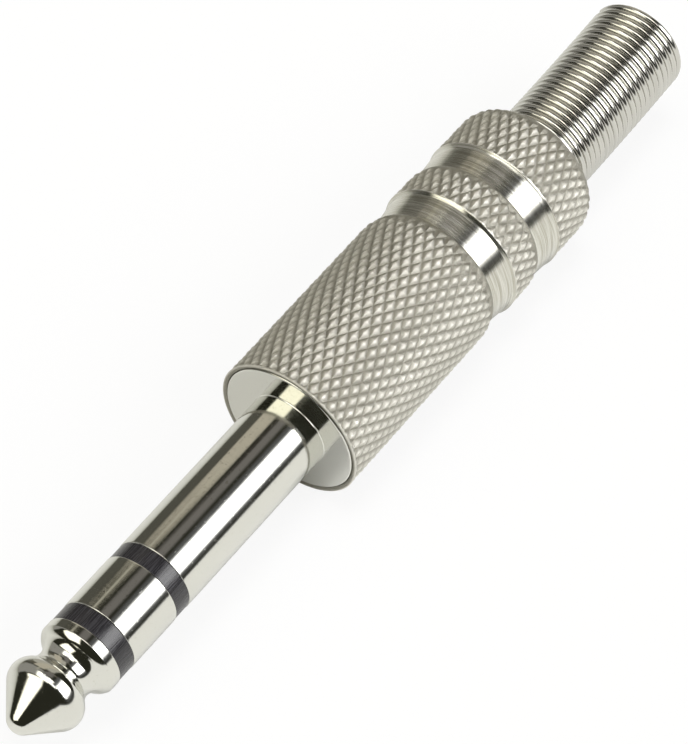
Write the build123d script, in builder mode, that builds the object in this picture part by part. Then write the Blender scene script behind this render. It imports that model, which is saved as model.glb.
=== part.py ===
"""Stereo jack plug, 6.35 mm: three contacts on one shaft, a screwed barrel and a coil strain relief.

Millimetres. The plug's axis is X: the tip points to -X and the cable leaves to +X. The origin is on
the axis at the front face of the flange, the shoulder that stops against a socket. +Z is up with
the plug lying on its barrel.
"""

from build123d import *

import os
from math import cos, radians, sin, tan, tau

os.makedirs("parts", exist_ok=True)

# Contact shaft, measured forwards from the flange
shaft_d = 6.35
sleeve_len = 15.9
ring_gap = 1.5
ring_len = 4.8
tip_gap = 1.6
tip_len = 7.9
insulator_inset = 0.04

# Head of the tip contact
nose_flat_r = 0.6
nose_round = 1.05
cone_angle = 38.5
belly_corner_r = 3.55
belly_round = 1.4
neck_angle = 45.0
neck_corner_r = 1.65
neck_round = 1.2
skirt_len = 0.8
skirt_round = 0.35

# Nested conductors and insulating tubes inside the shaft
rod_d = 2.0
rod_tube_wall = 0.37
ring_tube_wall = 0.47
inner_tube_wall = 0.44
nest_gap = 0.03

# Flange and threaded boss
flange_d = 11.2
flange_t = 1.0
flange_edge = 0.12
relief_depth = 0.4
relief_w = 0.6
boss_d = 9.8
boss_len = 6.0
boss_chamfer = 0.4
spigot_d = 5.8
spigot_len = 0.9

# Soldering lugs and insulating washers behind the boss
lug_t = 0.5
washer_t = 1.0
washer_d = 6.0
ground_ring_inset = 0.6
ring_lug_d = 5.4
tip_lug_d = 4.4
tab_w = 2.2
ring_tab_len = 5.0
tip_tab_len = 5.2
solder_hole_d = 1.2
rivet_d = 3.2
rivet_top_d = 1.8
rivet_h = 0.7

# Tongue and cable clamp of the ground lug
tongue_w = 2.6
tongue_hole_d = 1.4
tongue_hole_back = 5.2
clamp_len = 8.5
clamp_bed_w = 5.6
clamp_side_gap = 0.3
clamp_end_gap = 2.3
wing_len = 3.0
wing_h = 1.4
front_wing_back = 1.0

# Insulating sleeve round the lugs
cover_wall = 0.3
cover_end_gap = 0.4
cover_side_gap = 0.1

# Barrel
barrel_len = 31.3
lip_wall = 0.35
fit_gap = 0.05
lip_inner_bevel = 0.1
lip_outer_bevel = 0.22
thread_run_out = 0.5
thread_depth = 0.4
rear_wall = 1.8
rear_lip = 0.4
tail_round = 1.7
tail_round_share = 0.9

# Turned bands between the knurled lengths, each measured forwards from the barrel's tail
front_band_from_tail = 13.3
front_band_len = 2.1
front_band_depth = 0.45
front_band_rise = 0.25
front_shoulder = 1.5
rear_band_from_tail = 7.7
rear_band_len = 2.15
rear_band_depth = 0.3
rear_band_rise = 0.18
rear_shoulder = 1.1
band_bevel = 0.22

# Coil strain relief
wire_d = 0.6
coil_pitch = 0.626
coil_reach = 15.0
coil_side_gap = 0.1
flare_turns = 2.0
coil_facets = 16
wire_facets = 6
wire_end_angle = 103.0

# Stations along the axis
shaft_r = shaft_d / 2
ring_back = -sleeve_len - ring_gap
ring_front = ring_back - ring_len
tip_back = ring_front - tip_gap
nose = tip_back - tip_len
boss_end = flange_t + boss_len
spigot_end = boss_end + spigot_len
ring_lug_front = spigot_end + washer_t
ring_lug_back = ring_lug_front + lug_t
tip_lug_front = ring_lug_back + washer_t
tip_lug_back = tip_lug_front + lug_t
bore_end = barrel_len - rear_wall
flare_front = bore_end - (flare_turns + 0.5) * coil_pitch - wire_d
clamp_end = flare_front - clamp_end_gap
clamp_start = clamp_end - clamp_len

# Radii of the nest, from the rod outwards
rod_r = rod_d / 2
rod_tube_in = rod_r + nest_gap
rod_tube_out = rod_tube_in + rod_tube_wall
ring_tube_in = rod_tube_out + nest_gap
ring_tube_out = ring_tube_in + ring_tube_wall
inner_tube_in = ring_tube_out + nest_gap
inner_tube_out = inner_tube_in + inner_tube_wall
sleeve_bore_r = inner_tube_out + nest_gap

# Radii of the boss and what surrounds it
boss_r = boss_d / 2
thread_r = boss_r + fit_gap
bore_r = boss_r - thread_depth
exit_r = bore_r - rear_lip
cover_r = bore_r - cover_side_gap
tongue_r = cover_r - cover_wall - clamp_side_gap
seat_r = flange_d / 2 + fit_gap
barrel_r = seat_r + lip_wall


# Tip contact, one turned piece: pointed head with its latch neck, long rod and rivet head
belly_x = nose + (belly_corner_r - nose_flat_r) / tan(radians(cone_angle))
neck_x = belly_x + (belly_corner_r - neck_corner_r) / tan(radians(neck_angle))
skirt_x = tip_back - skirt_len
rivet_r = rivet_d / 2
rivet_top_r = rivet_top_d / 2
rivet_back = tip_lug_back + rivet_h

with BuildPart() as tip_contact:
    with BuildSketch(Plane.XZ):
        with BuildLine():
            head = FilletPolyline(
                (nose, 0),
                (nose, nose_flat_r),
                (belly_x, belly_corner_r),
                (neck_x, neck_corner_r),
                (skirt_x, shaft_r),
                (tip_back, shaft_r),
                radius=[nose_round, belly_round, neck_round, skirt_round],
            )
            Polyline((tip_back, shaft_r), (tip_back, rod_r), (tip_lug_back, rod_r), (tip_lug_back, rivet_r))
            Polyline((tip_lug_back, rivet_r), (rivet_back, rivet_top_r), (rivet_back, 0), (nose, 0))
        make_face()
    revolve(axis=Axis.X)
tip_contact.part.label = "tip_contact"
export_step(tip_contact.part, "parts/tip_contact.step")


# Front insulating ring, between the tip and the ring contact
with BuildPart() as tip_insulator:
    with BuildSketch(Plane.YZ.offset(tip_back)):
        Circle(shaft_r - insulator_inset)
        Circle(ring_tube_in, mode=Mode.SUBTRACT)
    extrude(amount=tip_gap)
tip_insulator.part.label = "tip_insulator"
export_step(tip_insulator.part, "parts/tip_insulator.step")


# Insulating tube that keeps the rod clear of the ring contact
with BuildPart() as rod_tube:
    with BuildSketch(Plane.YZ.offset(tip_back)):
        Circle(rod_tube_out)
        Circle(rod_tube_in, mode=Mode.SUBTRACT)
    extrude(amount=tip_lug_front - tip_back)
rod_tube.part.label = "rod_tube"
export_step(rod_tube.part, "parts/rod_tube.step")


# Ring contact: a band on the end of a thin tube that carries the ring lug
with BuildPart() as ring_contact:
    with BuildSketch(Plane.YZ.offset(ring_front)):
        Circle(shaft_r)
        Circle(ring_tube_in, mode=Mode.SUBTRACT)
    extrude(amount=ring_len)
    with BuildSketch(Plane.YZ.offset(ring_back)):
        Circle(ring_tube_out)
        Circle(ring_tube_in, mode=Mode.SUBTRACT)
    extrude(amount=ring_lug_back - ring_back)
ring_contact.part.label = "ring_contact"
export_step(ring_contact.part, "parts/ring_contact.step")


# Rear insulating ring, between the ring contact and the sleeve
with BuildPart() as ring_insulator:
    with BuildSketch(Plane.YZ.offset(ring_back)):
        Circle(shaft_r - insulator_inset)
        Circle(inner_tube_in, mode=Mode.SUBTRACT)
    extrude(amount=ring_gap)
ring_insulator.part.label = "ring_insulator"
export_step(ring_insulator.part, "parts/ring_insulator.step")


# Insulating tube that keeps the ring contact's tube clear of the sleeve
with BuildPart() as ring_tube:
    with BuildSketch(Plane.YZ.offset(-sleeve_len)):
        Circle(inner_tube_out)
        Circle(inner_tube_in, mode=Mode.SUBTRACT)
    extrude(amount=sleeve_len + spigot_end)
ring_tube.part.label = "ring_tube"
export_step(ring_tube.part, "parts/ring_tube.step")


# Sleeve body, one turned piece: ground contact, flange, thread relief, boss and staking spigot
with BuildPart() as sleeve_body:
    with BuildSketch(Plane.XZ):
        with BuildLine():
            Polyline(
                (-sleeve_len, sleeve_bore_r),
                (-sleeve_len, shaft_r),
                (0, shaft_r),
                (0, flange_d / 2 - flange_edge),
                (flange_edge, flange_d / 2),
                (flange_t, flange_d / 2),
                (flange_t, boss_r - relief_depth),
                (flange_t + relief_w, boss_r - relief_depth),
                (flange_t + relief_w, boss_r),
                (boss_end - boss_chamfer, boss_r),
                (boss_end, boss_r - boss_chamfer),
                (boss_end, spigot_d / 2),
                (spigot_end, spigot_d / 2),
                (spigot_end, sleeve_bore_r),
                close=True,
            )
        make_face()
    revolve(axis=Axis.X)
sleeve_body.part.label = "sleeve_body"
export_step(sleeve_body.part, "parts/sleeve_body.step")


# Ground lug, one stamping: ring on the spigot, tongue with a solder hole, bed and two pairs of wings
tongue_top = tongue_r - lug_t
wing_starts = (clamp_start + front_wing_back, clamp_end - wing_len)

with BuildPart() as ground_lug:
    with BuildSketch(Plane.YZ.offset(boss_end)):
        Circle(boss_r - ground_ring_inset)
        Circle(spigot_d / 2 + nest_gap, mode=Mode.SUBTRACT)
    extrude(amount=lug_t)
    with BuildSketch(Plane.XY.offset(-tongue_r)):
        with Locations(((boss_end + clamp_end) / 2, 0)):
            Rectangle(clamp_end - boss_end, tongue_w)
        with Locations((boss_end + tongue_hole_back, 0)):
            Circle(tongue_hole_d / 2, mode=Mode.SUBTRACT)
    extrude(amount=lug_t)
    with BuildSketch(Plane.YZ.offset(clamp_start)):
        Circle(tongue_r)
        Circle(tongue_top, mode=Mode.SUBTRACT)
        with Locations((0, -tongue_r)):
            Rectangle(clamp_bed_w, tongue_r, align=(Align.CENTER, Align.MIN), mode=Mode.INTERSECT)
    extrude(amount=clamp_len)
    for wing_start in wing_starts:
        with BuildSketch(Plane.YZ.offset(wing_start)):
            Circle(tongue_r)
            Circle(tongue_top, mode=Mode.SUBTRACT)
            with Locations((0, -tongue_r)):
                Rectangle(2 * tongue_r, tongue_r, align=(Align.CENTER, Align.MIN), mode=Mode.INTERSECT)
            with Locations((tongue_r - lug_t / 2, 0), (lug_t / 2 - tongue_r, 0)):
                Rectangle(lug_t, wing_h, align=(Align.CENTER, Align.MIN))
        extrude(amount=wing_len)
ground_lug.part.label = "ground_lug"
export_step(ground_lug.part, "parts/ground_lug.step")


# Insulating washer between the ground lug and the ring lug
with BuildPart() as body_washer:
    with BuildSketch(Plane.YZ.offset(spigot_end)):
        Circle(washer_d / 2)
        Circle(ring_tube_out + nest_gap, mode=Mode.SUBTRACT)
    extrude(amount=washer_t)
body_washer.part.label = "body_washer"
export_step(body_washer.part, "parts/body_washer.step")


# Ring lug: a disc staked on the ring contact's tube, with a tab bent back on the +Y side
with BuildPart() as ring_lug:
    with BuildSketch(Plane.YZ.offset(ring_lug_front)):
        Circle(ring_lug_d / 2)
        with Locations((ring_lug_d / 4, 0)):
            Rectangle(ring_lug_d / 2 + lug_t, tab_w)
        Circle(ring_tube_out + nest_gap, mode=Mode.SUBTRACT)
    extrude(amount=lug_t)
    with BuildSketch(Plane.XZ.offset(-ring_lug_d / 2)):
        with Locations((ring_lug_front + ring_tab_len / 2, 0)):
            SlotOverall(ring_tab_len + tab_w, tab_w)
        with Locations((ring_lug_front - tab_w, 0)):
            Rectangle(2 * tab_w, tab_w, mode=Mode.SUBTRACT)
        with Locations((ring_lug_front + ring_tab_len, 0)):
            Circle(solder_hole_d / 2, mode=Mode.SUBTRACT)
    extrude(amount=-lug_t)
ring_lug.part.label = "ring_lug"
export_step(ring_lug.part, "parts/ring_lug.step")


# Insulating washer between the two inner lugs
with BuildPart() as lug_washer:
    with BuildSketch(Plane.YZ.offset(ring_lug_back)):
        Circle(tip_lug_d / 2)
        Circle(ring_tube_in, mode=Mode.SUBTRACT)
    extrude(amount=washer_t)
lug_washer.part.label = "lug_washer"
export_step(lug_washer.part, "parts/lug_washer.step")


# Tip lug: a disc held by the rod's rivet head, with a tab bent back on the -Y side
with BuildPart() as tip_lug:
    with BuildSketch(Plane.YZ.offset(tip_lug_front)):
        Circle(tip_lug_d / 2)
        with Locations((-tip_lug_d / 4, 0)):
            Rectangle(tip_lug_d / 2 + lug_t, tab_w)
        Circle(rod_r + nest_gap, mode=Mode.SUBTRACT)
    extrude(amount=lug_t)
    with BuildSketch(Plane.XZ.offset(tip_lug_d / 2)):
        with Locations((tip_lug_front + tip_tab_len / 2, 0)):
            SlotOverall(tip_tab_len + tab_w, tab_w)
        with Locations((tip_lug_front - tab_w, 0)):
            Rectangle(2 * tab_w, tab_w, mode=Mode.SUBTRACT)
        with Locations((tip_lug_front + tip_tab_len, 0)):
            Circle(solder_hole_d / 2, mode=Mode.SUBTRACT)
    extrude(amount=lug_t)
tip_lug.part.label = "tip_lug"
export_step(tip_lug.part, "parts/tip_lug.step")


# Barrel, one turned piece: lip round the flange, thread bore, cavity, two bands and a domed tail
seat_x = flange_t + fit_gap
thread_end = boss_end + thread_run_out
bands = (
    (barrel_len - front_band_from_tail, front_band_len, front_band_depth, front_band_rise, front_shoulder),
    (barrel_len - rear_band_from_tail, rear_band_len, rear_band_depth, rear_band_rise, rear_shoulder),
)

with BuildPart() as barrel:
    with BuildSketch(Plane.XZ):
        with BuildLine():
            outline = Polyline(
                (barrel_len, exit_r),
                (bore_end, exit_r),
                (bore_end, bore_r),
                (thread_end + (thread_r - bore_r), bore_r),
                (thread_end, thread_r),
                (seat_x, thread_r),
                (seat_x, seat_r),
                (0, seat_r),
                (0, barrel_r),
            )
            pen = outline @ 1
            for start, length, depth, rise, shoulder in bands:
                floor_r = barrel_r - depth
                shoulder_round = (shoulder**2 + depth**2) / (2 * depth)
                Line(pen, (start - shoulder, barrel_r))
                RadiusArc((start - shoulder, barrel_r), (start, floor_r), shoulder_round)
                Polyline(
                    (start, floor_r),
                    (start + length, floor_r + rise),
                    (start + length + band_bevel, barrel_r),
                )
                pen = Vector(start + length + band_bevel, barrel_r)
            Polyline(pen, (barrel_len, barrel_r), (barrel_len, exit_r))
        make_face()
        tail_corner = vertices().sort_by(Axis.X)[-2:].sort_by(Axis.Y)[-1]
        fillet(tail_corner, min(tail_round, tail_round_share * (barrel_r - exit_r)))
        lip_corners = vertices().sort_by(Axis.X)[:2].sort_by(Axis.Y)
        chamfer(lip_corners[0], lip_inner_bevel)
        chamfer(lip_corners[1], lip_outer_bevel)
    revolve(axis=Axis.X)
barrel.part.label = "barrel"
export_step(barrel.part, "parts/barrel.step")


# Insulating sleeve, a plain tube between the lugs and the barrel
cover_start = boss_end + lug_t + cover_end_gap
cover_end = flare_front - cover_end_gap

with BuildPart() as insulating_sleeve:
    with BuildSketch(Plane.YZ.offset(cover_start)):
        Circle(cover_r)
        Circle(cover_r - cover_wall, mode=Mode.SUBTRACT)
    extrude(amount=cover_end - cover_start)
insulating_sleeve.part.label = "insulating_sleeve"
export_step(insulating_sleeve.part, "parts/insulating_sleeve.step")


# Strain relief: one left-hand coil, close wound, whose first turns flare out and catch in the barrel
coil_r = exit_r - coil_side_gap - wire_d / 2
flare_r = bore_r - coil_side_gap - wire_d / 2
wire_start = flare_front + wire_d / 2
wire_end = barrel_len + coil_reach - wire_d / 2
steps = round((wire_end - wire_start) / coil_pitch * coil_facets)


def coil_point(step):
    """A corner of the wire's centre line, counted back from the free end."""
    turn = step / coil_facets
    x = wire_end - turn * coil_pitch
    flare = min(1.0, max(0.0, (bore_end - wire_d / 2 - x) / coil_pitch))
    r = coil_r + (flare_r - coil_r) * flare
    angle = radians(wire_end_angle) + tau * turn
    return (x, r * cos(angle), r * sin(angle))


with BuildPart() as strain_relief_spring:
    with BuildLine() as wire_path:
        Polyline(*[coil_point(step) for step in range(steps + 1)])
    with BuildSketch(Plane(origin=wire_path.line @ 0, z_dir=wire_path.line % 0)):
        RegularPolygon(wire_d / 2, wire_facets)
    sweep(transition=Transition.RIGHT)
strain_relief_spring.part.label = "strain_relief_spring"
export_step(strain_relief_spring.part, "parts/strain_relief_spring.step")
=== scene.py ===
"""Studio scene of the stereo jack plug: turned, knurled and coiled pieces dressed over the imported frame.

Metres, in the frame's own axes: X along the plug, tip towards -X, Z up, the flange's front face at X = 0.
Sizes are written in millimetres and turned to metres where a mesh is made. The plug lies on its barrel
on a plain white table.
"""

from collections import namedtuple
from math import acos, atan2, ceil, cos, hypot, log10, pi, radians, sin, tan, tau

import bpy
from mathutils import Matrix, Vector


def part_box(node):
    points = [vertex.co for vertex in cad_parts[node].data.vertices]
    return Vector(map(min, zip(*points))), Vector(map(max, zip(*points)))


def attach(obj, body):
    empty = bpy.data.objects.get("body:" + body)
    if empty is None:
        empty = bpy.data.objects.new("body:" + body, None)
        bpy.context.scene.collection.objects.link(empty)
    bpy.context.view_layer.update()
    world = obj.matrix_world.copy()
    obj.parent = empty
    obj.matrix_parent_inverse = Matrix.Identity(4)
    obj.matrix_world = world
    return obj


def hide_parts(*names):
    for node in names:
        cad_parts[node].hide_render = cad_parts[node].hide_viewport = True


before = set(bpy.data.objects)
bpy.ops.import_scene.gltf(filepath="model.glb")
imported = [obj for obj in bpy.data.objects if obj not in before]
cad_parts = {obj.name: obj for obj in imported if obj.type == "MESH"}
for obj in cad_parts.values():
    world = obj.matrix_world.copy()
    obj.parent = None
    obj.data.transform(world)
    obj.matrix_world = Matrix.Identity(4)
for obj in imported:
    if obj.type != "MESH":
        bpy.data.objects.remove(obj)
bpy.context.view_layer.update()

MM = 0.001


def node_box(name):
    """Lowest and highest corner of a node of the frame, in millimetres."""
    low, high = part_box(name)
    return Vector(low) / MM, Vector(high) / MM


# Stations along the axis and radii, read from the frame's nodes
tip_low, tip_high = node_box("tip_contact")
front_ring_low, front_ring_high = node_box("tip_insulator")
rear_ring_low = node_box("ring_insulator")[0]
body_low, body_high = node_box("sleeve_body")
barrel_low, barrel_high = node_box("barrel")
coil_low, coil_high = node_box("strain_relief_spring")

NOSE = tip_low.x
TIP_BACK = front_ring_low.x
RING_FRONT = front_ring_high.x
RING_BACK = rear_ring_low.x
SLEEVE_FRONT = body_low.x
RIVET_BACK = tip_high.x
SPIGOT_END = body_high.x
BARREL_END = barrel_high.x
BARREL_R = barrel_high.y
COIL_END = coil_high.x
TABLE_Z = barrel_low.z

# Contact shaft and its head
SHAFT_R = 3.175
INSULATOR_R = front_ring_high.y
INSULATOR_EDGE = 0.05
CONTACT_EDGE = 0.06
NOSE_FLAT_R = 0.6
NOSE_ROUND = 1.05
CONE_ANGLE = 38.5
BELLY_CORNER_R = 3.55
BELLY_ROUND = 1.4
NECK_ANGLE = 45.0
NECK_ROUND = 1.2
SKIRT_LEN = 0.8
SKIRT_ROUND = 0.12
BULGE_LEN = 0.45
BULGE_ANGLES = (32.0, 57.0)
BULGE_ROUND = 1.1
ROD_R = 1.0
RIVET_R = 1.6
RIVET_TOP_R = 0.9
RIVET_H = 0.7
RING_TUBE_IN = 1.43
RING_TUBE_OUT = 1.87
INNER_TUBE_IN = 1.93
SLEEVE_BORE_R = 2.4

# Sleeve body: flange, thread relief, threaded boss and spigot
FLANGE_R = 5.6
FLANGE_T = 1.0
FLANGE_EDGE = 0.12
ROOT_ROUND = 0.08
RELIEF_DEPTH = 0.4
RELIEF_W = 0.6
BOSS_R = 4.9
BOSS_END = 7.0
BOSS_CHAMFER = 0.4
SPIGOT_R = 2.9
THREAD_PITCH = 0.75
THREAD_DEPTH = 0.4
THREAD_FLAT = 0.125
THREAD_ROWS = 8
THREAD_STEP = THREAD_PITCH / THREAD_ROWS

# Barrel
FIT_GAP = 0.05
LIP_INNER_BEVEL = 0.1
LIP_DROP = 0.117
LIP_ROUND = 0.1144
THREAD_RUN_OUT = 0.5
REAR_WALL = 1.8
BORE_END = BARREL_END - REAR_WALL
REAR_LIP = 0.4
TAIL_ROUND = 1.7
TAIL_HOLD = 0.2
COIL_GAP = 0.1

# The plain turned bands between the knurled lengths: each has a round shoulder in front of it, and a floor
# that rises a little towards its bevelled back edge
Band = namedtuple("Band", "start length depth rise shoulder")
BANDS = (
    Band(start=BARREL_END - 13.3, length=2.1, depth=0.45, rise=0.25, shoulder=1.5),
    Band(start=BARREL_END - 7.7, length=2.15, depth=0.3, rise=0.18, shoulder=1.1),
)
BAND_BEVEL = 0.22
BAND_ROUND = 0.12
BAND_FINISH_EDGE = 0.12
SHOULDER_STEPS = 12

# Knurl: a diamond grid of crossing grooves, with as many starts one way as the other
KNURL_STARTS = 40
KNURL_AXIAL = 1.545
KNURL_DEPTH = 0.22
KNURL_FLAT = 0.14
KNURL_STEPS = 8

# How far the knurl keeps from the lip, from a band's front and back and from the tail's end, and the runs
# over which it fades
KNURL_FRONT = 0.08
KNURL_RISE = 0.15
BAND_STOP = 0.1
BAND_FADE = 0.35
BAND_RESUME = 0.05
TAIL_STOP = 0.25
TAIL_FADE = 0.9

# Coil strain relief: its last turns lean off the axis along Y and Z, and tilt along X
WIRE_D = 0.6
WIRE_SIDES = 16
WIRE_END_ANGLE = 30.0
COIL_R = 3.7
COIL_PITCH = 0.626
COIL_STEPS = 48
COIL_LEAN = (0.2, 0.08)
COIL_TILT = 0.24
FLARE_R = 4.1

# Angles between faces, in degrees, above which an edge stays sharp
TURNED_SHARP = 30.0
KNURL_GROOVE_SHARP = 24.0
KNURL_SHARP = 40.0
COIL_SHARP = 50.0

# Vertices closer than this are merged, and a divided run may be too long by this share of a step
MERGE_DISTANCE = 0.0002
STEP_SLACK = 0.001


# Modelling helpers


def activate(piece):
    """Makes one object the only selected and the active one."""
    bpy.ops.object.select_all(action="DESELECT")
    piece.select_set(True)
    bpy.context.view_layer.objects.active = piece


def round_corners(corners, rounds, sag=0.0015):
    """The profile's corners (x, r) with each inner one rounded to its radius, in chords within the sag."""
    points = [corners[0]]
    for before, corner, after, radius in zip(corners, corners[1:], corners[2:], rounds):
        if not radius:
            points.append(corner)
            continue
        to_before = (Vector(before) - Vector(corner)).normalized()
        to_after = (Vector(after) - Vector(corner)).normalized()
        half_angle = to_before.angle(to_after) / 2
        centre = Vector(corner) + (to_before + to_after).normalized() * (radius / sin(half_angle))
        first = Vector(corner) + to_before * (radius / tan(half_angle)) - centre
        last = Vector(corner) + to_after * (radius / tan(half_angle)) - centre
        steps = max(3, ceil((pi - 2 * half_angle) / (2 * acos(1 - sag / radius))))
        for step in range(steps + 1):
            share = step / steps
            angle = pi - 2 * half_angle
            arm = (first * sin((1 - share) * angle) + last * sin(share * angle)) / sin(angle)
            points.append(tuple(centre + arm))
    points.append(corners[-1])
    return points


def divided(points, longest):
    """The profile with each run divided so that no step is longer than the given length."""
    result = [points[0]]
    for (x0, r0), (x1, r1) in zip(points, points[1:]):
        parts = max(1, ceil(hypot(x1 - x0, r1 - r0) / longest - STEP_SLACK))
        for part in range(1, parts + 1):
            result.append((x0 + (x1 - x0) * part / parts, r0 + (r1 - r0) * part / parts))
    return result


def held(points, hold=0.05):
    """The profile with a holding edge near both ends of each long run, to keep flats flat in the shading."""
    result = [points[0]]
    for (x0, r0), (x1, r1) in zip(points, points[1:]):
        run = hypot(x1 - x0, r1 - r0)
        if run > 4 * hold:
            for share in (hold / run, 1 - hold / run):
                result.append((x0 + (x1 - x0) * share, r0 + (r1 - r0) * share))
        result.append((x1, r1))
    return result


def turn_piece(name, points, segments=128, sharp=TURNED_SHARP):
    """A turned piece: one vertex extruded along the profile (x, r) in millimetres and spun about X.

    A profile that starts and ends on the axis is a solid of its own; any other one is closed to a ring.
    Each vertex keeps its place along the profile in the attribute "row".
    """
    bpy.ops.object.select_all(action="DESELECT")
    bpy.ops.mesh.primitive_plane_add(size=MM)
    piece = bpy.context.object
    piece.name = name
    bpy.ops.object.mode_set(mode="EDIT")
    bpy.ops.mesh.select_all(action="SELECT")
    bpy.ops.mesh.merge(type="CENTER")
    place = Vector((points[0][0], points[0][1], 0)) * MM
    bpy.ops.transform.translate(value=place)
    for x, r in points[1:]:
        target = Vector((x, r, 0)) * MM
        bpy.ops.mesh.extrude_region_move(TRANSFORM_OT_translate={"value": target - place})
        place = target
    bpy.ops.object.mode_set(mode="OBJECT")
    on_axis = points[0][1] == 0 and points[-1][1] == 0
    if not on_axis:
        for vertex in piece.data.vertices:
            vertex.select = vertex.index in (0, len(points) - 1)
        bpy.ops.object.mode_set(mode="EDIT")
        bpy.ops.mesh.edge_face_add()
        bpy.ops.object.mode_set(mode="OBJECT")
    row = piece.data.attributes.new("row", "FLOAT", "POINT")
    for vertex in piece.data.vertices:
        row.data[vertex.index].value = vertex.index
    bpy.ops.object.mode_set(mode="EDIT")
    bpy.ops.mesh.select_all(action="SELECT")
    bpy.ops.mesh.spin(steps=segments, angle=tau, center=(0, 0, 0), axis=(1, 0, 0))
    bpy.ops.mesh.select_all(action="SELECT")
    bpy.ops.mesh.remove_doubles(threshold=MERGE_DISTANCE * MM)
    bpy.ops.mesh.normals_make_consistent(inside=False)
    bpy.ops.object.mode_set(mode="OBJECT")
    activate(piece)
    bpy.ops.object.shade_smooth_by_angle(angle=radians(sharp))
    return piece


def displace_rows(piece, shift_of):
    """Moves each vertex by shift_of(row, angle about X), which gives millimetres along X and outwards."""
    rows = piece.data.attributes["row"].data
    for vertex in piece.data.vertices:
        angle = atan2(vertex.co.z, vertex.co.y)
        along, outwards = shift_of(round(rows[vertex.index].value), angle)
        vertex.co.x += along * MM
        vertex.co.y += outwards * cos(angle) * MM
        vertex.co.z += outwards * sin(angle) * MM


def drop_rows(piece):
    """Deletes the helper attribute that turn_piece leaves on the mesh."""
    piece.data.attributes.remove(piece.data.attributes["row"])


def finish_piece(piece, body, node, material):
    """Puts a finished piece on its body in place of its node, with its finish."""
    piece.data.materials.clear()
    piece.data.materials.append(material)
    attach(piece, body)
    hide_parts(node)


# Material helpers


def lin(hex_colour):
    """A linear colour, opaque, from an sRGB hex value."""
    channels = [int(hex_colour[i : i + 2], 16) / 255 for i in (1, 3, 5)]
    return [c / 12.92 if c <= 0.04045 else ((c + 0.055) / 1.055) ** 2.4 for c in channels] + [1.0]


def add_node(tree, kind, settings=None, **inputs):
    """Adds a node: settings are its properties, and each input is a value or an output to link from.

    An input's name is the socket's, with underscores for spaces, or i and its number.
    """
    node = tree.nodes.new("ShaderNode" + kind)
    for key, value in (settings or {}).items():
        setattr(node, key, value)
    for key, value in inputs.items():
        numbered = key[0] == "i" and key[1:].isdigit()
        socket = node.inputs[int(key[1:]) if numbered else key.replace("_", " ")]
        if isinstance(value, bpy.types.NodeSocket):
            tree.links.new(value, socket)
        else:
            socket.default_value = value
    return node


def new_material(name):
    """An empty material's tree with its Principled shader, its output and the object's coordinates in mm."""
    material = bpy.data.materials.new(name)
    material.use_nodes = True
    tree = material.node_tree
    tree.nodes.clear()
    shader = add_node(tree, "BsdfPrincipled")
    add_node(tree, "OutputMaterial", Surface=shader.outputs[0])
    coordinates = add_node(tree, "TexCoord").outputs["Object"]
    place = add_node(tree, "VectorMath", {"operation": "SCALE"}, i0=coordinates, Scale=1 / MM)
    return material, tree, shader, place.outputs[0]


def math(tree, operation, first, second=0.0, third=0.0, clamp=False):
    """One number worked out from others."""
    node = add_node(tree, "Math", {"operation": operation, "use_clamp": clamp}, i0=first, i1=second, i2=third)
    return node.outputs[0]


def ramp(tree, value, from_min, from_max, to_min=0.0, to_max=1.0):
    """A value mapped smoothly from one range to another, held at its ends."""
    node = add_node(
        tree, "MapRange", {"interpolation_type": "SMOOTHSTEP"},
        Value=value, From_Min=from_min, From_Max=from_max, To_Min=to_min, To_Max=to_max,
    )
    return node.outputs[0]


def stretched_noise(tree, place, per_mm, detail=3.0):
    """Noise with its own number of grains to the millimetre along X, Y and Z."""
    scaled = add_node(tree, "VectorMath", {"operation": "MULTIPLY"}, i0=place, i1=per_mm)
    return add_node(tree, "TexNoise", Vector=scaled.outputs[0], Scale=1.0, Detail=detail).outputs[0]


def tint(tree, factor, first, second):
    """A colour between two hex colours."""
    node = add_node(tree, "Mix", {"data_type": "RGBA"}, i0=factor, i6=lin(first), i7=lin(second))
    return node.outputs[2]


def add_bump(tree, shader, height, depth_mm, under=None):
    """Bump of a height from 0 to 1 that stands for a real depth, over any earlier bump."""
    node = add_node(tree, "Bump", Strength=1.0, Distance=depth_mm * MM, Height=height)
    if under is not None:
        tree.links.new(under, node.inputs["Normal"])
    tree.links.new(node.outputs[0], shader.inputs["Normal"])
    return node.outputs[0]


def brushed_round_axis(tree, shader, amount):
    """Gloss spread along X by fine turning lines that run round the axis."""
    tangent = add_node(tree, "Tangent", {"direction_type": "RADIAL", "axis": "X"})
    tree.links.new(tangent.outputs[0], shader.inputs["Tangent"])
    shader.inputs["Anisotropic Rotation"].default_value = 0.25
    tree.links.new(amount, shader.inputs["Anisotropic"])


# Materials


def polished_nickel():
    """Bright nickel plate on turned and polished brass: a near mirror with hair-fine turning rings and a
    few faint pits.
    """
    material, tree, shader, place = new_material("polished_nickel_plate")
    shader.inputs["Metallic"].default_value = 1.0
    rings = stretched_noise(tree, place, (22.0, 0.3, 0.3))
    clouds = stretched_noise(tree, place, (0.5, 0.5, 0.5))
    pits = ramp(tree, stretched_noise(tree, place, (5.0, 5.0, 5.0), 1.0), 0.66, 0.76)
    tree.links.new(tint(tree, pits, "#DADAD4", "#D0CFC7"), shader.inputs["Base Color"])
    gloss = ramp(tree, clouds, 0.35, 0.7, 0.07, 0.11)
    tree.links.new(gloss, shader.inputs["Roughness"])
    fine = stretched_noise(tree, place, (14.0, 14.0, 14.0), 1.0)
    ringed = add_bump(tree, shader, rings, 0.0012)
    pitted = add_bump(tree, shader, pits, 0.0018, under=ringed)
    add_bump(tree, shader, fine, 0.0008, under=pitted)
    return material


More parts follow.
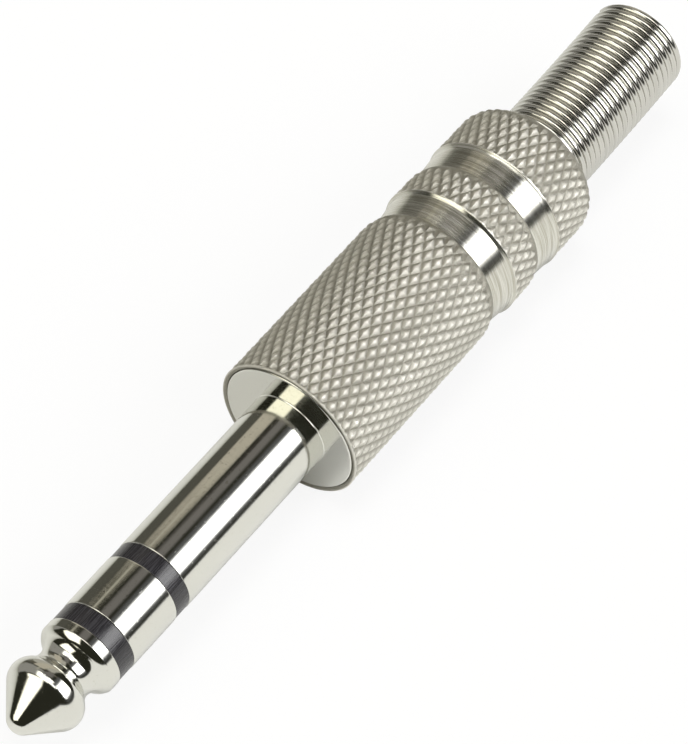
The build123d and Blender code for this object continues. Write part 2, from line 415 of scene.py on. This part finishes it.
def knurled_nickel():
    """Nickel plate on rolled and turned brass: satin and fine-grained on the knurl, brighter and ringed by
    the tool on the plain bands, with painted shade: darker in the knurl's grooves than on its crests.
    """
    material, tree, shader, place = new_material("satin_nickel_on_knurled_brass")
    shader.inputs["Metallic"].default_value = 1.0
    x, y, z = add_node(tree, "SeparateXYZ", Vector=place).outputs
    radius = math(tree, "SQRT", math(tree, "MULTIPLY_ADD", y, y, math(tree, "MULTIPLY", z, z)))
    crest = ramp(tree, radius, BARREL_R - KNURL_DEPTH, BARREL_R)
    plain = 0.0
    for band in BANDS:
        half = (band.length + BAND_BEVEL) / 2
        off = math(tree, "ABSOLUTE", math(tree, "SUBTRACT", x, band.start + half))
        plain = math(tree, "ADD", ramp(tree, off, half + BAND_FINISH_EDGE, half), plain, clamp=True)
    # Painted shade: the knurl's tint darkens from the crests down into the grooves, broken up by the grain
    grains = stretched_noise(tree, place, (7.0, 7.0, 7.0))
    tone = math(tree, "MULTIPLY_ADD", grains, 0.3, math(tree, "MULTIPLY", crest, 0.7), clamp=True)
    knurl_tint_groove_shade = tint(tree, tone, "#928F84", "#EBE9E2")
    rings = stretched_noise(tree, place, (13.0, 0.25, 0.25))
    band_tint = tint(tree, ramp(tree, rings, 0.3, 0.7), "#B7B5A9", "#E6E5DE")
    colour = add_node(tree, "Mix", {"data_type": "RGBA"}, i0=plain, i6=knurl_tint_groove_shade, i7=band_tint)
    tree.links.new(colour.outputs[2], shader.inputs["Base Color"])
    knurl_gloss = ramp(tree, grains, 0.35, 0.65, 0.4, 0.6)
    gloss = add_node(tree, "Mix", {"data_type": "FLOAT"}, i0=plain, i2=knurl_gloss, i3=0.2)
    tree.links.new(gloss.outputs[0], shader.inputs["Roughness"])
    brushed_round_axis(tree, shader, math(tree, "MULTIPLY", plain, 0.9))
    # The knurl's dents stand seven times as high as the bands' turning rings
    dents = math(tree, "MULTIPLY", stretched_noise(tree, place, (8.0, 8.0, 8.0)), 7.0)
    height = add_node(tree, "Mix", {"data_type": "FLOAT"}, i0=plain, i2=dents, i3=rings)
    add_bump(tree, shader, height.outputs[0], 0.012)
    return material


def bright_wire():
    """Bright plated spring wire: drawn smooth, with fine die lines along each turn."""
    material, tree, shader, place = new_material("bright_plated_spring_wire")
    shader.inputs["Metallic"].default_value = 1.0
    lines = stretched_noise(tree, place, (26.0, 0.15, 0.15))
    tree.links.new(tint(tree, ramp(tree, lines, 0.3, 0.7), "#C3C2BC", "#D5D4CF"), shader.inputs["Base Color"])
    tree.links.new(ramp(tree, lines, 0.3, 0.7, 0.07, 0.14), shader.inputs["Roughness"])
    add_bump(tree, shader, lines, 0.0012)
    return material


def black_insulator():
    """Black moulded thermoset, turned to size: deep charcoal, softly glossy, with fine streaks along X."""
    material, tree, shader, place = new_material("black_turned_thermoset")
    streaks = stretched_noise(tree, place, (0.6, 14.0, 14.0))
    colour = tint(tree, ramp(tree, streaks, 0.35, 0.75), "#1D1C1F", "#2E2D31")
    tree.links.new(colour, shader.inputs["Base Color"])
    tree.links.new(ramp(tree, streaks, 0.3, 0.7, 0.16, 0.34), shader.inputs["Roughness"])
    shader.inputs["IOR"].default_value = 1.56
    add_bump(tree, shader, streaks, 0.008)
    return material


def tinned_stamping():
    """Tinned brass sheet, stamped and bent: soft grey sheen with cloudy patches."""
    material, tree, shader, place = new_material("tinned_stamped_sheet")
    shader.inputs["Metallic"].default_value = 1.0
    clouds = stretched_noise(tree, place, (1.4, 1.4, 1.4))
    tree.links.new(tint(tree, clouds, "#A9A89F", "#D2D1CB"), shader.inputs["Base Color"])
    tree.links.new(ramp(tree, clouds, 0.3, 0.7, 0.25, 0.42), shader.inputs["Roughness"])
    add_bump(tree, shader, stretched_noise(tree, place, (12.0, 12.0, 12.0)), 0.004)
    return material


def natural_tube():
    """Extruded natural nylon tube: milky, waxy and half clear."""
    material, tree, shader, place = new_material("extruded_natural_nylon")
    lines = stretched_noise(tree, place, (0.3, 8.0, 8.0))
    tree.links.new(tint(tree, lines, "#D6D0BE", "#EDE8DA"), shader.inputs["Base Color"])
    tree.links.new(ramp(tree, lines, 0.3, 0.7, 0.28, 0.4), shader.inputs["Roughness"])
    shader.inputs["IOR"].default_value = 1.53
    shader.inputs["Subsurface Weight"].default_value = 0.3
    shader.inputs["Subsurface Scale"].default_value = 0.6 * MM
    add_bump(tree, shader, lines, 0.004)
    return material


def fibre_washer():
    """Punched vulcanised fibre: red-brown, matt, with a fine felted grain."""
    material, tree, shader, place = new_material("vulcanised_fibre")
    felt = stretched_noise(tree, place, (7.0, 7.0, 7.0), 5.0)
    tree.links.new(tint(tree, felt, "#5C3420", "#8D5A3A"), shader.inputs["Base Color"])
    tree.links.new(ramp(tree, felt, 0.3, 0.7, 0.6, 0.8), shader.inputs["Roughness"])
    add_bump(tree, shader, felt, 0.02)
    return material


def clear_sleeve():
    """Extruded polyethylene tube: thin, colourless and milky."""
    material, tree, shader, place = new_material("translucent_polyethylene")
    lines = stretched_noise(tree, place, (0.2, 5.0, 5.0))
    tree.links.new(tint(tree, lines, "#DEDDD6", "#F0EFEA"), shader.inputs["Base Color"])
    tree.links.new(ramp(tree, lines, 0.3, 0.7, 0.25, 0.4), shader.inputs["Roughness"])
    shader.inputs["IOR"].default_value = 1.51
    shader.inputs["Transmission Weight"].default_value = 0.6
    add_bump(tree, shader, lines, 0.006)
    return material


POLISHED_NICKEL = polished_nickel()
KNURLED_NICKEL = knurled_nickel()
BRIGHT_WIRE = bright_wire()
BLACK_INSULATOR = black_insulator()
TINNED_STAMPING = tinned_stamping()
NATURAL_TUBE = natural_tube()
FIBRE_WASHER = fibre_washer()
CLEAR_SLEEVE = clear_sleeve()


# Pieces of the contact shaft


def tip_contact():
    """Pointed head with its latch neck, on the rod that runs back to the rivet head."""
    belly_x = NOSE + (BELLY_CORNER_R - NOSE_FLAT_R) / tan(radians(CONE_ANGLE))
    skirt_x = TIP_BACK - SKIRT_LEN
    front_slope, back_slope = [radians(angle) for angle in BULGE_ANGLES]
    bulge_x = skirt_x - BULGE_LEN * cos(front_slope)
    bulge_r = SHAFT_R - BULGE_LEN * sin(front_slope)
    neck_slope = tan(radians(NECK_ANGLE))
    run = BELLY_CORNER_R - bulge_r + neck_slope * belly_x + tan(back_slope) * bulge_x
    neck_x = run / (neck_slope + tan(back_slope))
    neck_r = BELLY_CORNER_R - (neck_x - belly_x) * neck_slope
    rivet_front = RIVET_BACK - RIVET_H
    head = round_corners(
        [
            (NOSE, 0), (NOSE, NOSE_FLAT_R), (belly_x, BELLY_CORNER_R), (neck_x, neck_r),
            (bulge_x, bulge_r), (skirt_x, SHAFT_R), (TIP_BACK, SHAFT_R), (TIP_BACK, ROD_R),
        ],
        [NOSE_ROUND, BELLY_ROUND, NECK_ROUND, BULGE_ROUND, SKIRT_ROUND, CONTACT_EDGE],
    )
    rod = [(rivet_front, ROD_R), (rivet_front, RIVET_R), (RIVET_BACK, RIVET_TOP_R), (RIVET_BACK, 0)]
    piece = turn_piece("tip_contact_turned", held(head + rod))
    drop_rows(piece)
    finish_piece(piece, "plug", "tip_contact", POLISHED_NICKEL)


def insulating_ring(name, node, front, back, inner_r):
    """A black ring between two contacts, with its two outer edges just broken."""
    corners = [(front, inner_r), (front, INSULATOR_R), (back, INSULATOR_R), (back, inner_r)]
    piece = turn_piece(name, held(round_corners(corners, [INSULATOR_EDGE, INSULATOR_EDGE])))
    drop_rows(piece)
    finish_piece(piece, "plug", node, BLACK_INSULATOR)


def ring_contact():
    """The band between the insulating rings, on the tube that runs back to its lug."""
    tube_end = node_box("ring_contact")[1].x
    corners = [
        (RING_FRONT, RING_TUBE_IN), (RING_FRONT, SHAFT_R), (RING_BACK, SHAFT_R), (RING_BACK, RING_TUBE_OUT),
        (tube_end, RING_TUBE_OUT), (tube_end, RING_TUBE_IN),
    ]
    outline = round_corners(corners, [CONTACT_EDGE, CONTACT_EDGE, 0, 0])
    piece = turn_piece("ring_contact_turned", held(outline))
    drop_rows(piece)
    finish_piece(piece, "plug", "ring_contact", POLISHED_NICKEL)


def thread_groove(x, angle):
    """Depth of a right-hand V thread's groove at a place on its cylinder, from 0 at the crest."""
    phase = (x / THREAD_PITCH - angle / tau) % 1.0
    flank = (abs(2 * phase - 1) - THREAD_FLAT) / (1 - 2 * THREAD_FLAT)
    return THREAD_DEPTH * min(1.0, max(0.0, flank))


def sleeve_body():
    """Sleeve contact, polished flange, thread relief, threaded boss and spigot, turned in one."""
    relief_end = FLANGE_T + RELIEF_W
    front = held(round_corners(
        [
            (SLEEVE_FRONT, SLEEVE_BORE_R), (SLEEVE_FRONT, SHAFT_R), (0, SHAFT_R), (0, FLANGE_R),
            (FLANGE_T, FLANGE_R), (FLANGE_T, BOSS_R - RELIEF_DEPTH), (relief_end, BOSS_R - RELIEF_DEPTH),
            (relief_end, BOSS_R),
        ],
        [CONTACT_EDGE, ROOT_ROUND, FLANGE_EDGE, FLANGE_EDGE / 2, 0, 0],
    ))
    boss = divided([(relief_end, BOSS_R), (BOSS_END - BOSS_CHAMFER, BOSS_R)], THREAD_STEP)[1:]
    back = [
        (BOSS_END, BOSS_R - BOSS_CHAMFER), (BOSS_END, SPIGOT_R), (SPIGOT_END, SPIGOT_R),
        (SPIGOT_END, SLEEVE_BORE_R),
    ]
    points = front + boss + back
    first_thread_row = len(front) - 1
    last_thread_row = len(front) + len(boss) - 1
    piece = turn_piece("sleeve_body_turned", points)

    def cut_thread(row, angle):
        if not first_thread_row <= row <= last_thread_row:
            return 0, 0
        return 0, -thread_groove(points[row][0], angle)

    displace_rows(piece, cut_thread)
    drop_rows(piece)
    finish_piece(piece, "plug", "sleeve_body", POLISHED_NICKEL)


# Barrel


def barrel_outline():
    """The barrel's outer profile from the lip to the tail, without its knurl."""
    corners = [(0, BARREL_R - LIP_DROP), (0, BARREL_R)]
    rounds = [LIP_ROUND]
    for band in BANDS:
        shoulder_round = (band.shoulder**2 + band.depth**2) / (2 * band.depth)
        sweep = atan2(band.shoulder, shoulder_round - band.depth)
        for step in range(SHOULDER_STEPS + 1):
            angle = sweep * step / SHOULDER_STEPS
            corners.append((
                band.start - band.shoulder + shoulder_round * sin(angle),
                BARREL_R - shoulder_round * (1 - cos(angle)),
            ))
            rounds.append(0)
        floor_end = band.start + band.length
        corners += [(floor_end, BARREL_R - band.depth + band.rise), (floor_end + BAND_BEVEL, BARREL_R)]
        rounds += [0, BAND_ROUND]
    corners += [(BARREL_END, BARREL_R), (BARREL_END, COIL_R + WIRE_D / 2 + COIL_GAP)]
    rounds += [TAIL_ROUND]
    return round_corners(corners, rounds, sag=0.003)


def barrel():
    """Lip, knurled lengths, two plain turned bands and domed tail outside; thread and cavity inside."""
    seat_r = FLANGE_R + FIT_GAP
    thread_r = BOSS_R + FIT_GAP
    bore_r = BOSS_R - THREAD_DEPTH
    exit_r = bore_r - REAR_LIP
    seat_x = FLANGE_T + FIT_GAP
    thread_end = BOSS_END + THREAD_RUN_OUT
    outer = divided(barrel_outline(), KNURL_AXIAL / KNURL_STEPS)
    inner = [(BARREL_END - TAIL_HOLD, exit_r), (BORE_END, exit_r), (BORE_END, bore_r)]
    inner += [(thread_end + (thread_r - bore_r), bore_r), (thread_end, thread_r)]
    thread = divided([(thread_end, thread_r), (seat_x, thread_r)], THREAD_STEP)[1:]
    mouth = [(seat_x, seat_r), (LIP_INNER_BEVEL, seat_r)]
    points = outer + inner + thread + mouth
    columns = KNURL_STARTS * KNURL_STEPS
    piece = turn_piece("barrel_knurled", points, segments=columns, sharp=KNURL_GROOVE_SHARP)

    lengths = [0.0]
    for (x0, r0), (x1, r1) in zip(outer, outer[1:]):
        lengths.append(lengths[-1] + hypot(x1 - x0, r1 - r0))
    normals = []
    for index in range(len(outer)):
        x0, r0 = outer[max(0, index - 1)]
        x1, r1 = outer[min(len(outer) - 1, index + 1)]
        run = hypot(x1 - x0, r1 - r0)
        normals.append((-(r1 - r0) / run, (x1 - x0) / run))

    def knurl_weight(x):
        """1 where the knurl is full, 0 where the piece is plain."""
        weight = min((x - KNURL_FRONT) / KNURL_RISE, (BARREL_END - TAIL_STOP - x) / TAIL_FADE)
        for band in BANDS:
            if x > band.start - BAND_STOP - BAND_FADE:
                before = (band.start - BAND_STOP - x) / BAND_FADE
                behind = (x - band.start - band.length - BAND_BEVEL - BAND_RESUME) / KNURL_RISE
                weight = min(weight, max(before, behind))
        return min(1.0, max(0.0, weight))

    first_inner = len(outer)
    thread_rows = range(first_inner + len(inner) - 1, first_inner + len(inner) + len(thread))

    def cut(row, angle):
        x = points[row][0]
        if row < first_inner:
            along = lengths[row] / KNURL_AXIAL
            around = angle / tau * KNURL_STARTS
            rises = [1 - abs(2 * (phase % 1.0) - 1) for phase in (around + along, around - along)]
            height = min(1.0, min(rises) / (1 - KNURL_FLAT))
            depth = KNURL_DEPTH * knurl_weight(x) * (1 - height)
            return -normals[row][0] * depth, -normals[row][1] * depth
        if row in thread_rows:
            return 0, -(THREAD_DEPTH - thread_groove(x, angle))
        return 0, 0

    displace_rows(piece, cut)
    drop_rows(piece)
    bpy.ops.object.mode_set(mode="EDIT")
    bpy.ops.mesh.select_all(action="SELECT")
    bpy.ops.mesh.quads_convert_to_tris(quad_method="SHORTEST_DIAGONAL", ngon_method="BEAUTY")
    bpy.ops.object.mode_set(mode="OBJECT")
    bpy.ops.object.shade_smooth_by_angle(angle=radians(KNURL_SHARP))
    finish_piece(piece, "barrel", "barrel", KNURLED_NICKEL)


# Coil strain relief


def strain_relief_spring():
    """One wire wound left-hand from its free end, its first turns flared to catch in the barrel."""
    wire_r = WIRE_D / 2
    wire_end = COIL_END - wire_r
    turns = (wire_end - coil_low.x - wire_r) / COIL_PITCH
    bpy.ops.object.select_all(action="DESELECT")
    bpy.ops.mesh.primitive_circle_add(vertices=WIRE_SIDES, radius=wire_r * MM, fill_type="NOTHING")
    piece = bpy.context.object
    piece.name = "strain_relief_coil"
    bpy.ops.object.mode_set(mode="EDIT")
    bpy.ops.mesh.select_all(action="SELECT")
    bpy.ops.transform.translate(value=(wire_end * MM, COIL_R * MM, 0))
    bpy.ops.object.mode_set(mode="OBJECT")
    wind = piece.modifiers.new("wind", "SCREW")
    wind.axis = "X"
    wind.angle = tau * turns
    wind.screw_offset = -turns * COIL_PITCH * MM
    wind.steps = round(turns * COIL_STEPS)
    wind.render_steps = wind.steps
    wind.use_merge_vertices = False
    bpy.ops.object.modifier_apply(modifier=wind.name)
    bpy.ops.object.mode_set(mode="EDIT")
    bpy.ops.mesh.select_all(action="DESELECT")
    bpy.ops.mesh.select_non_manifold()
    bpy.ops.mesh.edge_face_add()
    bpy.ops.mesh.select_all(action="SELECT")
    bpy.ops.mesh.normals_make_consistent(inside=False)
    bpy.ops.object.mode_set(mode="OBJECT")

    start_angle = radians(WIRE_END_ANGLE)
    for vertex in piece.data.vertices:
        x = vertex.co.x / MM
        flare = min(1.0, max(0.0, (BORE_END - wire_r - x) / COIL_PITCH))
        out = max(0.0, x - BARREL_END) / (COIL_END - BARREL_END)
        r = hypot(vertex.co.y, vertex.co.z) + (FLARE_R - COIL_R) * flare * MM
        angle = atan2(vertex.co.z, vertex.co.y) + start_angle
        vertex.co.x -= COIL_TILT * out**2 * cos(angle) * MM
        vertex.co.y = r * cos(angle) + COIL_LEAN[0] * out**2 * MM
        vertex.co.z = r * sin(angle) + COIL_LEAN[1] * out**2 * MM
    activate(piece)
    bpy.ops.object.shade_smooth_by_angle(angle=radians(COIL_SHARP))
    finish_piece(piece, "strain_relief", "strain_relief_spring", BRIGHT_WIRE)


# Inner pieces keep their solids


def dress_inner_pieces():
    """The lugs, washers, tubes and the sleeve inside the barrel get their finishes."""
    finishes = {
        "ground_lug": TINNED_STAMPING,
        "ring_lug": TINNED_STAMPING,
        "tip_lug": TINNED_STAMPING,
        "rod_tube": NATURAL_TUBE,
        "ring_tube": NATURAL_TUBE,
        "body_washer": FIBRE_WASHER,
        "lug_washer": FIBRE_WASHER,
        "insulating_sleeve": CLEAR_SLEEVE,
    }
    for name, material in finishes.items():
        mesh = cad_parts[name].data
        mesh.materials.clear()
        mesh.materials.append(material)


# Studio

# The table: its colour near the plug and its painted shade far behind it, the run behind the plug over
# which metal sees the one turn to the other, and the share of pure white that the camera sees over both
TABLE_SIZE_M = 6.0
TABLE_WHITE = "#D2D2D1"
TABLE_FAR_SHADE = "#87877F"
TABLE_FADE_MM = (6.0, 700.0)
TABLE_WASH = 0.88

# The camera: its direction in degrees, and its place along its own axes
CAMERA_AZIMUTH = -53.98
CAMERA_ELEVATION = 52.45
CAMERA_RIGHT_MM = 4.012
CAMERA_UP_MM = 4.132
CAMERA_BACK_MM = 289.05
SENSOR_MM = 36.0
LENS_MM = 193.5


def camera():
    """The photograph's camera: above the plug, off its tip, looking down."""
    azimuth = radians(CAMERA_AZIMUTH)
    elevation = radians(CAMERA_ELEVATION)
    back = Vector((sin(azimuth) * cos(elevation), -cos(azimuth) * cos(elevation), sin(elevation)))
    right = Vector((cos(azimuth), sin(azimuth), 0))
    up = back.cross(right)
    place = right * CAMERA_RIGHT_MM + up * CAMERA_UP_MM + back * CAMERA_BACK_MM
    bpy.ops.object.camera_add(location=place * MM)
    item = bpy.context.object
    item.name = "photo_camera"
    item.rotation_mode = "QUATERNION"
    item.rotation_quaternion = (-back).to_track_quat("-Z", "Y")
    item.data.sensor_width = SENSOR_MM
    item.data.lens = LENS_MM
    item.data.clip_start = 0.01
    item.data.clip_end = 20.0
    bpy.context.scene.camera = item


def white_laminate():
    """White laminate, matt and even: the camera sees it washed out nearly to pure white, with only a faint
    shadow, and metal sees it white, with its full shadow, and with painted shade that dims it far behind the
    plug.
    """
    material = bpy.data.materials.new("white_laminate")
    material.use_nodes = True
    tree = material.node_tree
    tree.nodes.clear()
    rays = add_node(tree, "LightPath")
    spot = add_node(tree, "SeparateXYZ", Vector=add_node(tree, "TexCoord").outputs["Object"])
    # Painted shade: metal sees the table darken towards its far colour with the distance behind the plug
    fade_start, fade_end = TABLE_FADE_MM
    distance = math(tree, "LOGARITHM", math(tree, "DIVIDE", spot.outputs[1], fade_start * MM), 10.0)
    far_shade = ramp(tree, distance, 0.0, log10(fade_end / fade_start))
    far_shade = math(tree, "MULTIPLY", far_shade, rays.outputs["Is Glossy Ray"])
    diffuse = add_node(tree, "BsdfDiffuse", Color=tint(tree, far_shade, TABLE_WHITE, TABLE_FAR_SHADE))
    wash = add_node(tree, "Emission", Color=lin("#FFFFFF"), Strength=1.0)
    share = math(tree, "MULTIPLY", rays.outputs["Is Camera Ray"], TABLE_WASH)
    washed = add_node(tree, "MixShader", i0=share, i1=diffuse.outputs[0], i2=wash.outputs[0])
    add_node(tree, "OutputMaterial", Surface=washed.outputs[0])
    return material


def table():
    """A plain white table under the barrel, part of the stage."""
    bpy.ops.object.select_all(action="DESELECT")
    bpy.ops.mesh.primitive_plane_add(size=TABLE_SIZE_M, location=(0, 0, TABLE_Z * MM))
    item = bpy.context.object
    item.name = "white_table"
    item.data.materials.append(white_laminate())


# The studio's soft-edged panels, by the direction in which metal sees them: the middle and half width of
# the turn about X, in degrees from +Y over the top, the middle and half width along X, as shares of a unit
# direction, then the soft edge in degrees, the colour and the level. A later one covers an earlier one.
PANELS = (
    (25.0, 50.0, 0.0, 0.34, 20.0, "#F4F1E8", 0.36),  # dim wall on the far side
    (92.0, 30.0, -0.14, 0.2, 14.0, "#FFFDF4", 2.8),  # box overhead
    (35.0, 57.0, 0.85, 0.24, 8.0, "#F2EEDF", 0.55),  # wall off the coil's end
    (48.0, 62.0, 0.56, 0.06, 20.0, "#F0E8CC", 0.14),  # dim gap at its edge
    (0.0, 10.0, 0.45, 0.2, 10.0, "#FFFBEA", 0.21),  # low strip on the far side
    (12.0, 26.0, 0.43, 0.07, 30.0, "#FFFBE6", 0.1),  # dim gap across it
    (87.5, 11.5, 0.38, 0.22, 10.0, "#F3ECE4", 0.22),  # grey strip overhead
    (76.5, 5.0, 0.475, 0.03, 6.0, "#FFF4D8", 0.03),  # dark gap at its edge
    (49.5, 13.5, 0.7, 0.266, 6.0, "#FFF6E0", 0.56),  # warm box, high on the far side
    (50.0, 18.0, 0.74, 0.295, 6.0, "#FFF6E0", 0.56),  # its wider part
    (54.0, 3.0, 0.3, 0.14, 5.0, "#FFFAE4", 0.45),  # thin strip beside it
    (140.0, 31.0, 0.24, 0.45, 10.0, "#FFFFFF", 0.11),  # spill round the key box
    (141.3, 20.0, 0.24, 0.45, 8.0, "#FFFFFF", 1.9),  # the key box's glow
    (141.3, 15.5, 0.24, 0.43, 6.0, "#FFFFFF", 5.5),  # key box on the near side
    (84.0, 9.0, 0.0, 0.07, 6.0, "#FFFFFF", 1.1),  # small box overhead
    (87.0, 11.0, -0.38, 0.06, 8.0, "#FFFDF0", 1.7),  # another, towards the tip
    (58.5, 26.0, -0.64, 0.22, 8.0, "#FFFBE8", 2.0),  # box off the tip
    (191.0, 12.0, 0.2, 1.2, 8.0, "#FFFFFF", 0.6),  # low wall on the near side
)
PANEL_X_EDGE = 0.008
SKY_BASE = (0.026, 0.026, 0.018)


def studio_world():
    """A product studio's soft boxes, painted on a dark sky by direction. The camera itself sees white."""
    world = bpy.data.worlds.new("studio_sky")
    bpy.context.scene.world = world
    world.use_nodes = True
    tree = world.node_tree
    tree.nodes.clear()
    direction = add_node(tree, "TexCoord").outputs["Generated"]
    x, y, z = add_node(tree, "SeparateXYZ", Vector=direction).outputs
    turn = math(tree, "MULTIPLY", math(tree, "ARCTAN2", z, y), 180 / pi)
    below = math(tree, "LESS_THAN", turn, -90.0)
    turn = math(tree, "MULTIPLY_ADD", below, 360.0, turn)
    colour = [*SKY_BASE, 1.0]
    for middle, half, x_middle, x_half, edge, tone, level in PANELS:
        off_turn = math(tree, "ABSOLUTE", math(tree, "SUBTRACT", turn, middle))
        off_x = math(tree, "ABSOLUTE", math(tree, "SUBTRACT", x, x_middle))
        mask = math(
            tree, "MULTIPLY",
            ramp(tree, off_turn, half + edge / 2, half - edge / 2),
            ramp(tree, off_x, x_half + PANEL_X_EDGE, x_half - PANEL_X_EDGE),
        )
        panel = [channel * level for channel in lin(tone)[:3]] + [1.0]
        mix = add_node(tree, "Mix", {"data_type": "RGBA"}, i0=mask, i6=colour, i7=panel)
        colour = mix.outputs[2]
    studio = add_node(tree, "Background", Color=colour, Strength=1.0)
    white = add_node(tree, "Background", Color=lin("#FFFFFF"), Strength=1.0)
    is_camera = add_node(tree, "LightPath").outputs["Is Camera Ray"]
    shown = add_node(tree, "MixShader", i0=is_camera, i1=studio.outputs[0], i2=white.outputs[0])
    add_node(tree, "OutputWorld", Surface=shown.outputs[0])


def lamp(name, place, target, size, power):
    """A soft square lamp aimed at a point, in metres and watts, that metal doesn't see."""
    bpy.ops.object.light_add(type="AREA", location=place)
    item = bpy.context.object
    item.name = name
    item.data.size = size
    item.data.energy = power
    item.rotation_mode = "QUATERNION"
    item.rotation_quaternion = (Vector(target) - Vector(place)).to_track_quat("-Z", "Y")
    item.visible_glossy = False


bpy.context.scene.view_settings.view_transform = "Standard"
camera()
studio_world()
table()
lamp("overhead_lamp", place=(0.05, -0.02, 0.9), target=(0, 0, 0), size=0.3, power=4.0)

tip_contact()
insulating_ring("tip_insulator_ring", "tip_insulator", TIP_BACK, RING_FRONT, RING_TUBE_IN)
ring_contact()
insulating_ring("ring_insulator_ring", "ring_insulator", RING_BACK, SLEEVE_FRONT, INNER_TUBE_IN)
sleeve_body()
barrel()
strain_relief_spring()
dress_inner_pieces()
